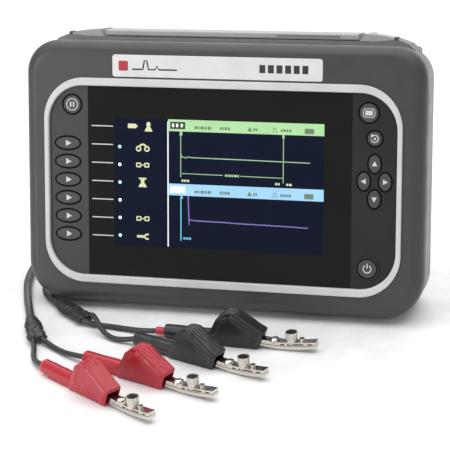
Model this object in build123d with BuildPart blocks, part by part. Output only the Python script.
from build123d import *
import os
from math import cos, pi, radians, sin, tan

os.makedirs("parts", exist_ok=True)

# Dual-channel cable tester: a landscape hand-held case that leans back on its bevelled base
# and a fold-out stand, with two test leads that each end in a pair of piercing clips.
# Millimetres and degrees. X right, Y back, Z up, floor at Z = 0.

# ---------------------------------------------------------------- driving dimensions
LEAN = 13.0             # how far the face leans back from upright
CENTRE_Y = -36.38       # bezel centre, measured from the middle of the footprint
CENTRE_Z = 92.7         # height of the bezel's centre above the floor

CASE_W = 290.0
CASE_LOW = -89.0        # lower edge, along the face from the bezel's centre
CASE_HIGH = 99.5
CASE_D = 55.0
CASE_R, TOP_R = 29.0, 23.5      # lower and upper corners
EDGE_R = 9.0
WALL = 3.0
SPLIT = 14.0            # depth of the joint between the two shells
SEAL_T = 1.2
REAR_TAPER = 3.0
REAR_R = 11.0
FOOT_T = 1.5

RING_W, RING_H, RING_R = 259.7, 147.4, 30.0
RING_IN_W, RING_IN_H, RING_IN_R = 252.7, 136.2, 26.0
RING_PROUD = 1.6
OPEN_W, OPEN_H, OPEN_R = 255.3, 140.9, 27.5
LEDGE_W, LEDGE_H, LEDGE_R = 248.0, 130.0, 14.0
LEDGE_T = 2.0
PANEL_DEPTH = 1.0       # how far the key panels and the lens sit below the face
PANEL_T = 2.0
LENS_LEFT, LENS_RIGHT = -97.2, 94.6
SCREEN_W, SCREEN_H = 152.4, 91.44    # visible area of a 7 inch wide display
SCREEN_X = -1.2

KEY_GAP = 0.8           # dark gap round each key cap
KEY_PROUD = 0.5         # key cap above its panel
KEY_TRAVEL = 1.0
# name: centre x, centre y, half width, half height of the opening in the panel
ROUND_KEY, ROW_X, ROW_TOP, ROW_PITCH = 7.2, -112.6, 26.5, 13.14
CROSS_X, CROSS_Y, CROSS_DX, CROSS_DY = 110.6, 7.3, 7.4, 12.2
KEYS = {"hold_key": (-109.0, 54.3, ROUND_KEY, ROUND_KEY)}
for row in range(6):
    KEYS[f"soft_key_{row + 1}"] = (ROW_X, ROW_TOP - row * ROW_PITCH, 9.7, 5.0)
KEYS["backlight_key"] = (106.2, 54.5, ROUND_KEY, ROUND_KEY)
KEYS["null_key"] = (110.4, 36.9, 5.7, 5.7)
KEYS["up_key"] = (CROSS_X, CROSS_Y + CROSS_DY, 4.9, 6.8)
KEYS["left_key"] = (CROSS_X - CROSS_DX, CROSS_Y, 4.9, 6.8)
KEYS["right_key"] = (CROSS_X + CROSS_DX, CROSS_Y, 4.9, 6.8)
KEYS["down_key"] = (CROSS_X, CROSS_Y - CROSS_DY, 4.9, 6.8)
KEYS["power_key"] = (106.4, -53.6, ROUND_KEY, ROUND_KEY)

PLATE_X, PLATE_Y, PLATE_W, PLATE_H = -2.2, 82.7, 152.0, 15.6

DECK = 101.5            # shelf under the connector cover
LUG_TOP = 106.3
COVER_T = 4.3
COVER_W = 185.2
COVER_FRONT, COVER_AXIS_D, COVER_AXIS_H = 27.6, 50.0, 102.6
COVER_BARREL = 2.3
BAY_W, BAY_FRONT, BAY_BACK, BAY_FLOOR = 168.0, 30.5, 44.0, 88.5

STAND_W, STAND_T = 88.0, 4.5
STAND_AXIS_D, STAND_AXIS_H = 51.0, 40.0
STAND_OPEN = 27.0       # angle between the open stand and the back of the case
RECESS_W, RECESS_D = 93.0, 7.5

SOCKET_H = 60.0         # height of the test sockets on the back
SOCKET_PITCH = 19.0
SOCKET_PAIRS = {"lead_plug_1": -112.0, "lead_plug_2": -66.0}

LEAD_D = 6.0            # lead from the plug to the splitter
TAIL_D = 3.8            # the two tails from the splitter to the clips
COIL_R, COIL_W, COIL_H = 33.0, 19.0, 12.5
SPLITTER_L = 37.0
CLIP_L = 110.0

C, S = cos(radians(LEAN)), sin(radians(LEAN))
OUT = Axis((0, 0, 0), (0, -C, S))       # out of the face, towards the user
CASE_H = CASE_HIGH - CASE_LOW
CASE_MID = (CASE_HIGH + CASE_LOW) / 2


def face(depth=0.0):
    """Plane parallel to the face: local x right, y up the face, normal towards the user."""
    flat = Plane(origin=(0, CENTRE_Y, CENTRE_Z), x_dir=(1, 0, 0), z_dir=(0, -C, S))
    return flat.offset(-depth)


def side(x=0.0):
    """Plane square to X: local x runs back into the case, local y up the face."""
    return Plane(origin=(x, CENTRE_Y, CENTRE_Z), x_dir=(0, C, -S), z_dir=(1, 0, 0))


def top(height):
    """Plane square to the face: local x right, local y back, normal up the face."""
    return Plane(origin=at(0, height, 0), x_dir=(1, 0, 0), z_dir=(0, S, C))


def at(x, height, depth):
    """Point at a place on the face and a depth behind it."""
    return face(depth).from_local_coords((x, height, 0))


# ---------------------------------------------------------------- case
def case_outline(inset=0.0):
    """Outline of the case on the face, drawn in by a distance."""
    with BuildSketch() as outer:
        with Locations((0, CASE_MID)):
            Rectangle(CASE_W - 2 * inset, CASE_H - 2 * inset)
        fillet(outer.vertices().group_by(Axis.Y)[0], CASE_R - inset)
        fillet(outer.vertices().group_by(Axis.Y)[-1], TOP_R - inset)
    return outer.sketch


with BuildPart() as front_cavity:
    with BuildSketch(face(SPLIT)):
        add(case_outline(WALL))
    extrude(amount=SPLIT - WALL)
    fillet(front_cavity.faces().sort_by(OUT)[-1].edges(), EDGE_R - WALL)

SCREWS = [(x, y) for x in (-118.0, 118.0) for y in (-76.0, 86.0)]
SCREW_HEAD_DEPTH = CASE_D - 20

with BuildPart() as front_shell:
    with BuildSketch(face(SPLIT)):
        add(case_outline())
    extrude(amount=SPLIT)
    fillet(front_shell.faces().sort_by(OUT)[-1].edges(), EDGE_R)
    add(front_cavity.part, mode=Mode.SUBTRACT)
    # screw posts
    with BuildSketch(face(WALL - 0.5)):
        with Locations(*SCREWS):
            Circle(4.5)
    extrude(amount=-(SPLIT - WALL))
    # opening for the bezel, and the ledge behind it that carries the panels
    with BuildSketch(face()):
        RectangleRounded(OPEN_W, OPEN_H, OPEN_R)
    extrude(amount=-WALL, mode=Mode.SUBTRACT)
    with BuildSketch(face(WALL)):
        RectangleRounded(OPEN_W + 6, OPEN_H + 6, OPEN_R + 3)
        RectangleRounded(LEDGE_W, LEDGE_H, LEDGE_R, mode=Mode.SUBTRACT)
    extrude(amount=-LEDGE_T)
    # shallow seat for the name plate, and pilot holes in the posts
    with BuildSketch(face()):
        with Locations((PLATE_X, PLATE_Y)):
            RectangleRounded(PLATE_W + 0.4, PLATE_H + 0.4, 2.2)
    extrude(amount=-0.5, mode=Mode.SUBTRACT)
    with BuildSketch(face(SPLIT)):
        with Locations(*SCREWS):
            Circle(1.3)
    extrude(amount=8, mode=Mode.SUBTRACT)
front_shell.part.label = "front_shell"
export_step(front_shell.part, "parts/front_shell.step")

with BuildPart() as case_seal:
    with BuildSketch(face(SPLIT)):
        add(case_outline(0.6))
        add(case_outline(2.8), mode=Mode.SUBTRACT)
    extrude(amount=-SEAL_T)
case_seal.part.label = "case_seal"
export_step(case_seal.part, "parts/case_seal.step")

REAR = SPLIT + SEAL_T   # depth where the rear shell starts

with BuildPart() as rear_cavity:
    with BuildSketch(face(REAR)):
        add(case_outline(0.5 + WALL))
    extrude(amount=-(CASE_D - WALL - REAR), taper=REAR_TAPER)
    fillet(rear_cavity.faces().sort_by(OUT)[0].edges(), REAR_R - WALL)
    with Locations((0, 0, FOOT_T + WALL - 50)):
        Box(400, 400, 100, mode=Mode.SUBTRACT)

BATTERY_X, BATTERY_Y, BATTERY_W, BATTERY_H = 92.0, -20.0, 64.0, 78.0

COVER_SEAT = COVER_W / 2 + 0.6      # half the gap between the lugs
EAR_END = 101.0                     # outboard of this the lugs are faired into the case
with BuildPart() as deck:
    with BuildSketch(face(27)):
        left = [
            (-133, 85.5), (-133, 95.6), (-128, 100.2), (-119.5, 103.3), (-111, 105.3),
            (-99, LUG_TOP), (-96.5, LUG_TOP), (-COVER_SEAT, DECK),
        ]
        Polygon(*left, *[(-x, y) for x, y in reversed(left)], align=None)
    extrude(amount=-26)
    with BuildSketch(face(46)):
        with Locations((0, DECK + 7)):
            Rectangle(2 * COVER_SEAT, 20)
    extrude(amount=-12, mode=Mode.SUBTRACT)
    with BuildSketch(side(-EAR_END - 30)):
        Polygon((41.5, 108), (53.5, 85), (60, 85), (60, 108), align=None)
    extrude(amount=30, mode=Mode.SUBTRACT)
    with BuildSketch(side(EAR_END)):
        Polygon((41.5, 108), (53.5, 85), (60, 85), (60, 108), align=None)
    extrude(amount=30, mode=Mode.SUBTRACT)

with BuildPart() as rear_shell:
    with BuildSketch(face(REAR)):
        add(case_outline(0.5))
    extrude(amount=-(CASE_D - REAR), taper=REAR_TAPER)
    fillet(rear_shell.faces().sort_by(OUT)[0].edges(), REAR_R)
    add(rear_cavity.part, mode=Mode.SUBTRACT)
    # raised deck with a sloping lug at each end for the connector cover
    add(deck.part)
    with BuildSketch(top(DECK + 5)):
        with Locations((0, (BAY_FRONT + BAY_BACK) / 2)):
            RectangleRounded(BAY_W, BAY_BACK - BAY_FRONT, 2)
    extrude(amount=-(DECK + 5 - BAY_FLOOR), mode=Mode.SUBTRACT)
    # recess for the folded stand, with its own floor and side walls
    with BuildSketch(face(CASE_D - WALL)):
        with Locations((0, -20.5)):
            Rectangle(RECESS_W + 8, 137)
    extrude(amount=RECESS_D)
    with BuildSketch(face(CASE_D)):
        with Locations((0, -25)):
            Rectangle(RECESS_W, 141)
    extrude(amount=RECESS_D, mode=Mode.SUBTRACT)
    # bevelled base: everything below the tops of the feet is cut away
    with Locations((0, 0, FOOT_T - 50)):
        Box(400, 400, 100, mode=Mode.SUBTRACT)
    # battery door opening and its rebate
    with BuildSketch(face(CASE_D)):
        with Locations((BATTERY_X, BATTERY_Y)):
            RectangleRounded(BATTERY_W, BATTERY_H, 3)
    extrude(amount=2 * WALL, mode=Mode.SUBTRACT)
    with BuildSketch(face(CASE_D)):
        with Locations((BATTERY_X, BATTERY_Y)):
            RectangleRounded(BATTERY_W + 5, BATTERY_H + 5, 5)
    extrude(amount=1.6, mode=Mode.SUBTRACT)
    # screw tubes, hinge pin holes and socket holes
    with BuildSketch(face(REAR)):
        with Locations(*SCREWS):
            Circle(5)
    extrude(amount=-(CASE_D - WALL - REAR))
    with BuildSketch(face(REAR)):
        with Locations(*SCREWS):
            Circle(1.8)
    extrude(amount=-(CASE_D - REAR), mode=Mode.SUBTRACT)
    with BuildSketch(face(CASE_D)):
        with Locations(*SCREWS):
            Circle(3.6)
    extrude(amount=20, mode=Mode.SUBTRACT)
    with BuildSketch(side(-98)):
        with Locations((COVER_AXIS_D, COVER_AXIS_H)):
            Circle(1.25)
    extrude(amount=196, mode=Mode.SUBTRACT)
    with BuildSketch(side(-49)):
        with Locations((STAND_AXIS_D, STAND_AXIS_H)):
            Circle(1.5)
    extrude(amount=98, mode=Mode.SUBTRACT)
    with BuildSketch(face(CASE_D + 1)):
        for x in SOCKET_PAIRS.values():
            with Locations((x - SOCKET_PITCH / 2, SOCKET_H), (x + SOCKET_PITCH / 2, SOCKET_H)):
                Circle(5.5)
    extrude(amount=2 * WALL, mode=Mode.SUBTRACT)
rear_shell.part.label = "rear_shell"
export_step(rear_shell.part, "parts/rear_shell.step")

with BuildPart() as feet:
    with BuildSketch():
        with Locations((-88, CENTRE_Y + 14.5), (88, CENTRE_Y + 14.5)):
            RectangleRounded(46, 20, 4)
    extrude(amount=FOOT_T)
feet.part.label = "feet"
export_step(feet.part, "parts/feet.step")

with BuildPart() as battery_cover:
    with BuildSketch(face(CASE_D)):
        with Locations((BATTERY_X, BATTERY_Y)):
            RectangleRounded(BATTERY_W + 4.4, BATTERY_H + 4.4, 4.7)
    extrude(amount=1.6)
    with BuildSketch(face(CASE_D - 1.6)):
        with Locations((BATTERY_X, BATTERY_Y)):
            RectangleRounded(BATTERY_W - 0.6, BATTERY_H - 0.6, 2.7)
    extrude(amount=1.2)
    # finger grip: three shallow grooves across the lower end
    with BuildSketch(face(CASE_D)):
        with Locations(*[(BATTERY_X, BATTERY_Y - 24 - 5 * groove) for groove in range(3)]):
            SlotOverall(34, 2.4)
    extrude(amount=0.8, mode=Mode.SUBTRACT)
battery_cover.part.label = "battery_cover"
export_step(battery_cover.part, "parts/battery_cover.step")

with BuildPart() as battery_pack:
    with BuildSketch(face(CASE_D - 3.6)):
        with Locations((BATTERY_X, BATTERY_Y)):
            RectangleRounded(BATTERY_W - 4, BATTERY_H - 4, 3)
    extrude(amount=20)
    fillet(battery_pack.edges().filter_by(GeomType.LINE).filter_by(Axis.X), 3)
battery_pack.part.label = "battery_pack"
export_step(battery_pack.part, "parts/battery_pack.step")

# M3 screws: heads in the deep counterbores, threads in the front shell's posts
with BuildPart() as case_screws:
    with BuildSketch(face(SCREW_HEAD_DEPTH)):
        with Locations(*SCREWS):
            Circle(2.9)
    extrude(amount=-2.4)
    with BuildSketch(face(SCREW_HEAD_DEPTH + 2.4)):
        with Locations(*SCREWS):
            RegularPolygon(1.45, 6)
    extrude(amount=1.5, mode=Mode.SUBTRACT)
    with BuildSketch(face(SCREW_HEAD_DEPTH)):
        with Locations(*SCREWS):
            Circle(1.3)
    extrude(amount=SCREW_HEAD_DEPTH - SPLIT + 6)
case_screws.part.label = "case_screws"
export_step(case_screws.part, "parts/case_screws.step")

# ---------------------------------------------------------------- bezel, panels and display
with BuildPart() as bezel_ring:
    with BuildSketch(face()):
        RectangleRounded(RING_W, RING_H, RING_R)
        RectangleRounded(RING_IN_W, RING_IN_H, RING_IN_R, mode=Mode.SUBTRACT)
    extrude(amount=RING_PROUD)
    fillet(bezel_ring.faces().sort_by(OUT)[-1].edges(), 0.9)
    with BuildSketch(face()):
        RectangleRounded(OPEN_W - 0.3, OPEN_H - 0.3, OPEN_R)
        RectangleRounded(RING_IN_W, RING_IN_H, RING_IN_R, mode=Mode.SUBTRACT)
    extrude(amount=-WALL)
bezel_ring.part.label = "bezel_ring"
export_step(bezel_ring.part, "parts/bezel_ring.step")


def panel_outline(left, right):
    """Slice of the bezel's inner outline between two X places, 0.2 clear all round."""
    RectangleRounded(RING_IN_W - 0.4, RING_IN_H - 0.4, RING_IN_R - 0.2)
    with Locations(((left + right) / 2, 0)):
        Rectangle(right - left, RING_H, mode=Mode.INTERSECT)


def key_ellipses(low, high, grow):
    """One ellipse for each key whose centre is between two X places."""
    for x, y, rx, ry in KEYS.values():
        if low < x < high:
            with Locations((x, y)):
                Ellipse(rx + grow, ry + grow) if rx != ry else Circle(rx + grow)


with BuildPart() as left_key_panel:
    with BuildSketch(face(PANEL_DEPTH)):
        panel_outline(-RING_W / 2, LENS_LEFT - 0.1)
    extrude(amount=-PANEL_T)
    with BuildSketch(face(PANEL_DEPTH)):
        key_ellipses(-RING_W / 2, LENS_LEFT, 0)
    extrude(amount=-PANEL_T, mode=Mode.SUBTRACT)
left_key_panel.part.label = "left_key_panel"
export_step(left_key_panel.part, "parts/left_key_panel.step")

POWER_X, POWER_Y = KEYS["power_key"][:2]
with BuildPart() as right_key_panel:
    with BuildSketch(face(PANEL_DEPTH)):
        panel_outline(LENS_RIGHT + 0.1, RING_W / 2)
    extrude(amount=-PANEL_T)
    # raised collar that guards the power key
    with BuildSketch(face(PANEL_DEPTH)):
        with Locations((POWER_X, POWER_Y)):
            Circle(ROUND_KEY + 1.6)
    extrude(amount=0.7)
    fillet(right_key_panel.faces().sort_by(OUT)[-1].edges(), 0.4)
    with BuildSketch(face(PANEL_DEPTH - 1)):
        key_ellipses(LENS_RIGHT, RING_W / 2, 0)
    extrude(amount=-PANEL_T - 1, mode=Mode.SUBTRACT)
right_key_panel.part.label = "right_key_panel"
export_step(right_key_panel.part, "parts/right_key_panel.step")

with BuildPart() as display_lens:
    with BuildSketch(face(PANEL_DEPTH)):
        panel_outline(LENS_LEFT, LENS_RIGHT)
    extrude(amount=-PANEL_T)
display_lens.part.label = "display_lens"
export_step(display_lens.part, "parts/display_lens.step")

LCD_FRONT = PANEL_DEPTH + PANEL_T + 0.2
with BuildPart() as lcd_module:
    with BuildSketch(face(LCD_FRONT)):
        with Locations((SCREEN_X, 0)):
            Rectangle(SCREEN_W + 12, SCREEN_H + 13)
    extrude(amount=-5.5)
    chamfer(lcd_module.faces().sort_by(OUT)[-1].edges(), 0.5)
lcd_module.part.label = "lcd_module"
export_step(lcd_module.part, "parts/lcd_module.step")

with BuildPart() as name_plate:
    with BuildSketch(face(0.5)):
        with Locations((PLATE_X, PLATE_Y)):
            RectangleRounded(PLATE_W, PLATE_H, 2)
    extrude(amount=0.9)
    chamfer(name_plate.faces().sort_by(OUT)[-1].edges(), 0.2)
name_plate.part.label = "name_plate"
export_step(name_plate.part, "parts/name_plate.step")

# ---------------------------------------------------------------- keys and boards
FLANGE_DEPTH = PANEL_DEPTH + PANEL_T + 0.15
STEM_END = FLANGE_DEPTH + 2.0
for name, (x, y, rx, ry) in KEYS.items():
    with BuildPart() as key:
        with BuildSketch(face(FLANGE_DEPTH)):
            with Locations((x, y)):
                if rx == ry:
                    Circle(rx - KEY_GAP)
                else:
                    Ellipse(rx - KEY_GAP, ry - KEY_GAP)
        extrude(amount=FLANGE_DEPTH - PANEL_DEPTH + KEY_PROUD)
        fillet(key.faces().sort_by(OUT)[-1].edges(), 0.35)
        with BuildSketch(face(FLANGE_DEPTH)):
            with Locations((x, y)):
                if rx == ry:
                    Circle(rx + 0.5)
                else:
                    Ellipse(rx + 0.45, ry + 0.45)
        extrude(amount=-0.9)
        with BuildSketch(face(FLANGE_DEPTH)):
            with Locations((x, y)):
                Circle(2)
        extrude(amount=-(STEM_END - FLANGE_DEPTH))
    key.part.label = name
    export_step(key.part, f"parts/{name}.step")

DOME_TOP = STEM_END + KEY_TRAVEL + 0.3
BOARD_DEPTH = DOME_TOP + 1.6
with BuildPart() as dome_switches:
    with BuildSketch(face(BOARD_DEPTH)):
        with Locations(*[(x, y) for x, y, _, _ in KEYS.values()]):
            Circle(3.2)
    extrude(amount=1.1)
    with BuildSketch(face(BOARD_DEPTH)):
        with Locations(*[(x, y) for x, y, _, _ in KEYS.values()]):
            Circle(1.7)
    extrude(amount=1.6)
dome_switches.part.label = "dome_switches"
export_step(dome_switches.part, "parts/dome_switches.step")

with BuildPart() as key_board:
    with BuildSketch(face(BOARD_DEPTH)):
        with Locations((-108.5, 5), (108.5, 5)):
            RectangleRounded(30, 138, 4)
        with Locations((0, 69)):
            Rectangle(200, 10)
    extrude(amount=-1.6)
key_board.part.label = "key_board"
export_step(key_board.part, "parts/key_board.step")

MAIN_BOARD_DEPTH = 18.0
with BuildPart() as main_board:
    with BuildSketch(face(MAIN_BOARD_DEPTH)):
        RectangleRounded(216, 122, 3)
    extrude(amount=-1.6)
    # screening cans and the tall parts on the front side
    with BuildSketch(face(MAIN_BOARD_DEPTH)):
        with Locations((-55, 25), (-55, -28), (5, -25)):
            Rectangle(44, 40)
        with Locations((52, 22)):
            Rectangle(34, 34)
    extrude(amount=4)
main_board.part.label = "main_board"
export_step(main_board.part, "parts/main_board.step")

# ---------------------------------------------------------------- connectors
with BuildPart() as charger_jack:
    with BuildSketch(top(BAY_FLOOR)):
        with Locations((-58, 37)):
            RectangleRounded(10, 10, 1)
            Circle(2.8, mode=Mode.SUBTRACT)
    extrude(amount=8.5)
    with BuildSketch(top(BAY_FLOOR)):
        with Locations((-58, 37)):
            RectangleRounded(10, 10, 1)
    extrude(amount=1)
    with BuildSketch(top(BAY_FLOOR + 1)):
        with Locations((-58, 37)):
            Circle(1)
    extrude(amount=6)
charger_jack.part.label = "charger_jack"
export_step(charger_jack.part, "parts/charger_jack.step")

with BuildPart() as usb_socket:
    with BuildSketch(top(BAY_FLOOR)):
        with Locations((-34, 37)):
            Rectangle(13.2, 6)
            Rectangle(12.2, 5, mode=Mode.SUBTRACT)
    extrude(amount=9)
    with BuildSketch(top(BAY_FLOOR)):
        with Locations((-34, 37)):
            Rectangle(13.2, 6)
    extrude(amount=1)
    with BuildSketch(top(BAY_FLOOR + 1)):
        with Locations((-34, 36.2)):
            Rectangle(10.5, 1.8)
    extrude(amount=7)
usb_socket.part.label = "usb_socket"
export_step(usb_socket.part, "parts/usb_socket.step")

SOCKETS = [(x + dx, SOCKET_H) for x in SOCKET_PAIRS.values() for dx in (-SOCKET_PITCH / 2, SOCKET_PITCH / 2)]
with BuildPart() as test_sockets:
    with BuildSketch(face(CASE_D - 16)):
        with Locations(*SOCKETS):
            Circle(5.5)
    extrude(amount=-16)
    with BuildSketch(face(CASE_D)):
        with Locations(*SOCKETS):
            Circle(6.6)
    extrude(amount=-1.2)
    with BuildSketch(face(CASE_D + 1.2)):
        with Locations(*SOCKETS):
            Circle(4.1)
    extrude(amount=14.4, mode=Mode.SUBTRACT)
test_sockets.part.label = "test_sockets"
export_step(test_sockets.part, "parts/test_sockets.step")

# ---------------------------------------------------------------- connector cover and stand
with BuildPart() as top_cover:
    with BuildSketch(side(-COVER_W / 2)):
        with Locations(((COVER_FRONT + COVER_AXIS_D) / 2, DECK + 0.4 + COVER_T / 2)):
            Rectangle(COVER_AXIS_D - COVER_FRONT, COVER_T)
        with Locations((COVER_AXIS_D, COVER_AXIS_H)):
            Circle(COVER_BARREL)
            Circle(1.32, mode=Mode.SUBTRACT)
    extrude(amount=COVER_W)
    lip = top_cover.edges().filter_by(Axis.X).sort_by(OUT)[-2:]
    fillet(lip, 1.2)
top_cover.part.label = "top_cover"
export_step(top_cover.part, "parts/top_cover.step")

STAND_TILT = STAND_OPEN - LEAN      # of the open stand from upright
HINGE = at(0, STAND_AXIS_H, STAND_AXIS_D)
STAND_L = HINGE.Z / cos(radians(STAND_TILT))
BACK = (0, cos(radians(STAND_TILT)), sin(radians(STAND_TILT)))
stand_plane = Plane(origin=HINGE, x_dir=(-1, 0, 0), z_dir=BACK)
with BuildPart() as stand:
    with BuildSketch(stand_plane.offset(-STAND_T / 2)):
        with Locations((0, -STAND_L / 2)):
            Rectangle(STAND_W, STAND_L + 4)
    extrude(amount=STAND_T)
    with BuildSketch(Plane(origin=HINGE + (-STAND_W / 2, 0, 0), x_dir=BACK, z_dir=(1, 0, 0))):
        Circle(3)
    extrude(amount=STAND_W)
    with BuildSketch(Plane(origin=HINGE + (-STAND_W / 2, 0, 0), x_dir=BACK, z_dir=(1, 0, 0))):
        Circle(1.57)
    extrude(amount=STAND_W, mode=Mode.SUBTRACT)
    # two stiffening ribs and a finger grip on the back, inside the recess's depth when folded
    with BuildSketch(stand_plane.offset(STAND_T / 2)):
        with Locations((-34, -STAND_L / 2), (34, -STAND_L / 2)):
            RectangleRounded(5, STAND_L - 26, 2)
        with Locations(*[(0, 16 + 5 * rib - STAND_L) for rib in range(4)]):
            SlotOverall(42, 2.2)
    extrude(amount=1.2)
    # the foot is cut level with the floor
    with Locations((0, HINGE.Y, -50)):
        Box(200, 300, 100, mode=Mode.SUBTRACT)
stand.part.label = "stand"
export_step(stand.part, "parts/stand.step")

with BuildPart() as hinge_pins:
    with BuildSketch(side(-98)):
        with Locations((COVER_AXIS_D, COVER_AXIS_H)):
            Circle(1.25)
    extrude(amount=196)
    with BuildSketch(side(-49)):
        with Locations((STAND_AXIS_D, STAND_AXIS_H)):
            Circle(1.5)
    extrude(amount=98)
hinge_pins.part.label = "hinge_pins"
export_step(hinge_pins.part, "parts/hinge_pins.step")

# ---------------------------------------------------------------- test leads
PLUG_DEPTH = CASE_D + 1.4
for name, x in SOCKET_PAIRS.items():
    exit_point = at(x, SOCKET_H - 5.5, PLUG_DEPTH + 17)
    with BuildPart() as plug:
        with BuildSketch(face(PLUG_DEPTH)):
            with Locations((x, SOCKET_H)):
                RectangleRounded(35, 15, 5)
        extrude(amount=-28)
        fillet(plug.faces().sort_by(OUT)[0].edges(), 3)
        with BuildSketch(face(PLUG_DEPTH)):
            with Locations((x - SOCKET_PITCH / 2, SOCKET_H), (x + SOCKET_PITCH / 2, SOCKET_H)):
                Circle(4)
                Circle(3.2, mode=Mode.SUBTRACT)
                Circle(2)
        extrude(amount=13)
        # strain relief, straight down
        with BuildSketch(Plane(origin=exit_point, z_dir=(0, 0, -1))):
            Circle(5)
        extrude(amount=16.5, taper=4.5)
    plug.part.label = name
    export_step(plug.part, f"parts/{name}.step")

RELIEF_END = at(0, SOCKET_H - 5.5, PLUG_DEPTH + 17) - (0, 0, 16.5)
REAR_Y, REAR_Z = RELIEF_END.Y, RELIEF_END.Z

COILS = {"lead_1_coil": (-94, 150), "lead_2_coil": (-94, 62)}
LEAD_ROUTES = {
    "lead_1_cord": [
        [
            (-112, REAR_Y, REAR_Z), (-111, 50.5, 88), (-107.5, 57, 69), (-101, 68, 54), (-92, 82, 41),
            (-82, 98, 30), (-73, 115, 20.5), (-65.5, 132, 12.5), (-62, 150, 9.2),
        ],
        [
            (-127, 152, 3.2), (-129, 128, 3), (-137, 104, 3), (-149, 82, 3), (-159, 58, 3), (-165, 33, 3),
            (-165, 8, 3), (-160, -18, 3), (-151, -42, 3), (-141.5, -64, 3), (-131.5, -85, 4.2),
        ],
    ],
    "lead_2_cord": [
        [
            (-66, REAR_Y, REAR_Z), (-65.5, 48, 88), (-64, 47.5, 67), (-62.5, 48, 46), (-61, 52, 28),
            (-61, 61, 15), (-63, 74, 9.4), (-70, 86, 9.2),
        ],
        [
            (-127, 64, 3.2), (-129, 40, 3), (-136, 16, 3), (-143.5, -6, 3), (-142.5, -27, 3),
            (-134, -44, 3), (-120, -57.8, 4.2),
        ],
    ],
}
SPLITTERS = {"splitter_1": ((-131.5, -85), -61.7), "splitter_2": ((-120, -57.8), -37.5)}
TAIL_ROUTES = {
    "red_tail_1": [
        (-116.8, -119.2, 4.2), (-113.0, -127, 2.4), (-109.5, -138.5, 2.1), (-103, -150.5, 3.2),
        (-92.2, -158.6, 5),
    ],
    "red_tail_2": [
        (-111.1, -116.1, 4.2), (-104, -121, 2.4), (-95, -127.5, 2.1), (-84.5, -135, 3.2),
        (-69.9, -141.2, 5),
    ],
    "black_tail_1": [
        (-88.7, -77.8, 6.2), (-85, -83, 9.6), (-80, -89.8, 9.0), (-72, -99, 3.8), (-62.5, -105, 2.1),
        (-53.5, -106.8, 3.2), (-44.7, -107.7, 5),
    ],
    "black_tail_2": [
        (-92.6, -82.8, 4.2), (-86, -84.6, 2.3), (-75, -84.5, 2.1), (-59, -87.5, 2.1), (-43, -91.5, 3.2),
        (-28.1, -92.4, 5),
    ],
}
CLIPS = {
    "red_clip_1": ((-92.2, -158.6), -32.0),
    "red_clip_2": ((-69.9, -141.2), -21.0),
    "black_clip_1": ((-44.7, -107.7), -21.0),
    "black_clip_2": ((-28.1, -92.4), -4.0),
}


def arc_radii(points):
    """Largest radius that the two runs at each corner of a route allow."""
    runs = [Vector(*b) - Vector(*a) for a, b in zip(points, points[1:])]
    turns = [a.get_angle(b) for a, b in zip(runs, runs[1:])]
    return [
        0.45 * min(a.length, b.length) / tan(radians(turn / 2))
        for a, b, turn in zip(runs, runs[1:], turns)
    ]


for name, routes in LEAD_ROUTES.items():
    lengths = []
    with BuildPart() as cord:
        for points in routes:
            with BuildLine() as run:
                FilletPolyline(*points, radius=arc_radii(points))
            with BuildSketch(Plane(origin=run.wire() @ 0, z_dir=run.wire() % 0)):
                Circle(LEAD_D / 2)
            sweep()
            lengths.append(run.wire().length)
    cord.part.label = name
    export_step(cord.part, f"parts/{name}.step")
    ratio = cord.part.volume / (sum(lengths) * pi * LEAD_D**2 / 4)
    print(name, "lengths", [round(length, 1) for length in lengths], "volume ratio", round(ratio, 4))
    print("  radii", [[round(r, 1) for r in arc_radii(points)] for points in routes])

for name, points in TAIL_ROUTES.items():
    with BuildPart() as tail:
        with BuildLine() as run:
            FilletPolyline(*points, radius=arc_radii(points))
        with BuildSketch(Plane(origin=run.wire() @ 0, z_dir=run.wire() % 0)):
            Circle(TAIL_D / 2)
        sweep()
    tail.part.label = name
    export_step(tail.part, f"parts/{name}.step")
    ratio = tail.part.volume / (run.wire().length * pi * TAIL_D**2 / 4)
    print(name, "length", round(run.wire().length, 1), "volume ratio", round(ratio, 4))
    print("  radii", [round(r, 1) for r in arc_radii(points)])

for name, (x, y) in COILS.items():
    with BuildPart() as coil:
        with BuildSketch(Plane.XZ):
            with Locations((COIL_R, COIL_H / 2)):
                RectangleRounded(COIL_W, COIL_H, 3)
        revolve(axis=Axis.Z)
    placed = coil.part.moved(Location((x, y, 0)))
    placed.label = name
    export_step(placed, f"parts/{name}.step")

for name, ((x, y), heading) in SPLITTERS.items():
    along = Vector(1, 0, 0).rotate(Axis.Z, heading)
    start = Plane(origin=(x, y, 4.2), x_dir=Vector(0, 0, 1).cross(along), z_dir=along)
    with BuildPart() as splitter:
        with BuildSketch(start):
            Circle(3.9)
        with BuildSketch(start.offset(SPLITTER_L * 0.35)):
            with Locations((0, 0.2)):
                Ellipse(5.6, 4.2)
        with BuildSketch(start.offset(SPLITTER_L)):
            with Locations((0, 0.2)):
                Ellipse(7.0, 4.0)
        loft()
    splitter.part.label = name
    export_step(splitter.part, f"parts/{name}.step")

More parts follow.
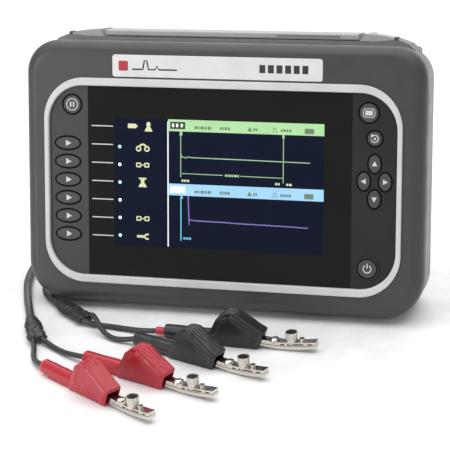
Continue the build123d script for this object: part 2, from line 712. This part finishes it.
# ---------------------------------------------------------------- clips
PIVOT = (62.5, 7.2)     # jaw hinge, along the clip and above the floor
TUBE_R, TUBE_L = 5.0, 38.0
BOOT = [(34.5, 0), (69, 0), (74, 12), (53.5, 25.6), (47, 25.8), (39.5, 20.5), (34.5, 10)]
BOOT_HALF_W, BOOT_WALL = 7.0, 1.7
BOOT_HOLLOW = [(43, 2.2), (80, 2.2), (80, 10.4), (73, 10.4), (52.6, 23.4), (47.8, 23.6), (43.4, 19.6)]
LOWER_JAW = [
    (46, 2.3), (70, 2.3), (84, 1.0), (96, 1.6), (CLIP_L, 3.8),
    (CLIP_L, 6.0), (96, 4.0), (84, 3.3), (70, 3.9), (46, 3.7),
]
UPPER_JAW = [
    (58.5, 5.4), (66, 4.4), (84, 3.7), (96, 4.4), (CLIP_L, 6.4),
    (CLIP_L, 8.6), (96, 6.8), (84, 6.2), (72, 6.9), (66, 8.0), (61.5, 9.6),
]
LEVER = [(61.5, 9.6), (51.2, 21.0), (50.3, 20.2), (57.5, 6.0)]
JAW_W = 6.5
EAR_W, EAR_GAP = 9.4, 6.8
EAR = [(58.5, 3.5), (66.5, 3.5), (65.1, 7.2), (59.9, 7.2)]
EAR_ROOM = [(52, 3.95), (70, 3.95), (70, 13), (52, 13)]
KNOB_ALONG, KNOB_R, KNOB_BASE, KNOB_TOP = 92.0, 3.9, 5.5, 13.4
STUD_R, STUD_STEP, STUD_H = 1.75, 7.4, 4.0


def outline(points):
    """Flat shape with straight sides between its corners."""
    Polygon(*points, align=None)


def clip_plane(place, heading):
    """Side view of a clip: local x along it, local y up."""
    along = Vector(1, 0, 0).rotate(Axis.Z, heading)
    return Plane(origin=(*place, 0), x_dir=along, z_dir=along.cross(Vector(0, 0, 1)))


for name, (place, heading) in CLIPS.items():
    plane = clip_plane(place, heading)
    with BuildPart() as boot:
        with BuildSketch(plane):
            outline(BOOT)
        extrude(amount=BOOT_HALF_W, both=True)
        fillet(boot.edges().filter_by(GeomType.LINE).group_by(Axis.Z)[-1], 2)
        with BuildSketch(Plane(origin=plane.from_local_coords((0, TUBE_R, 0)), z_dir=plane.x_dir)):
            Circle(TUBE_R)
        extrude(amount=TUBE_L)
        with BuildSketch(plane):
            outline(BOOT_HOLLOW)
        extrude(amount=BOOT_HALF_W - BOOT_WALL, both=True, mode=Mode.SUBTRACT)
    boot.part.label = f"{name}_boot"
    export_step(boot.part, f"parts/{name}_boot.step")

    with BuildPart() as jaw:
        with BuildSketch(plane):
            outline(UPPER_JAW)
            outline(LEVER)
            with Locations(PIVOT):
                Circle(3)
                Circle(1.25, mode=Mode.SUBTRACT)
        extrude(amount=JAW_W / 2, both=True)
        # slot for the spring round the pin
        with BuildSketch(plane):
            with Locations(PIVOT):
                Circle(3.2)
        extrude(amount=1.9, both=True, mode=Mode.SUBTRACT)
        # knurled knob, with a small stud beside it
        knob_plane = Plane(origin=plane.from_local_coords((KNOB_ALONG, KNOB_BASE, 0)), z_dir=(0, 0, 1))
        with BuildSketch(knob_plane):
            Circle(KNOB_R)
        extrude(amount=KNOB_TOP - KNOB_BASE)
        with BuildSketch(knob_plane):
            with Locations(plane.x_dir * STUD_STEP):
                Circle(STUD_R)
        extrude(amount=STUD_H)
    jaw.part.label = f"{name}_jaw"
    export_step(jaw.part, f"parts/{name}_jaw.step")

with BuildPart() as clip_lower_jaws:
    for place, heading in CLIPS.values():
        with BuildSketch(clip_plane(place, heading)):
            outline(LOWER_JAW)
        extrude(amount=JAW_W / 2, both=True)
        # two ears that carry the pin
        with BuildSketch(clip_plane(place, heading)):
            with Locations(PIVOT):
                Circle(2.8)
            outline(EAR)
        extrude(amount=EAR_W / 2, both=True)
        with BuildSketch(clip_plane(place, heading)):
            outline(EAR_ROOM)
        extrude(amount=EAR_GAP / 2, both=True, mode=Mode.SUBTRACT)
        with BuildSketch(clip_plane(place, heading)):
            with Locations(PIVOT):
                Circle(1.2)
        extrude(amount=6, both=True, mode=Mode.SUBTRACT)
clip_lower_jaws.part.label = "clip_lower_jaws"
export_step(clip_lower_jaws.part, "parts/clip_lower_jaws.step")

with BuildPart() as clip_pins:
    for place, heading in CLIPS.values():
        with BuildSketch(clip_plane(place, heading)):
            with Locations(PIVOT):
                Circle(1.2)
        extrude(amount=5, both=True)
clip_pins.part.label = "clip_pins"
export_step(clip_pins.part, "parts/clip_pins.step")

with BuildPart() as clip_springs:
    for place, heading in CLIPS.values():
        with BuildSketch(clip_plane(place, heading)):
            with Locations(PIVOT):
                Circle(2.5)
                Circle(1.35, mode=Mode.SUBTRACT)
        extrude(amount=1.7, both=True)
clip_springs.part.label = "clip_springs"
export_step(clip_springs.part, "parts/clip_springs.step")
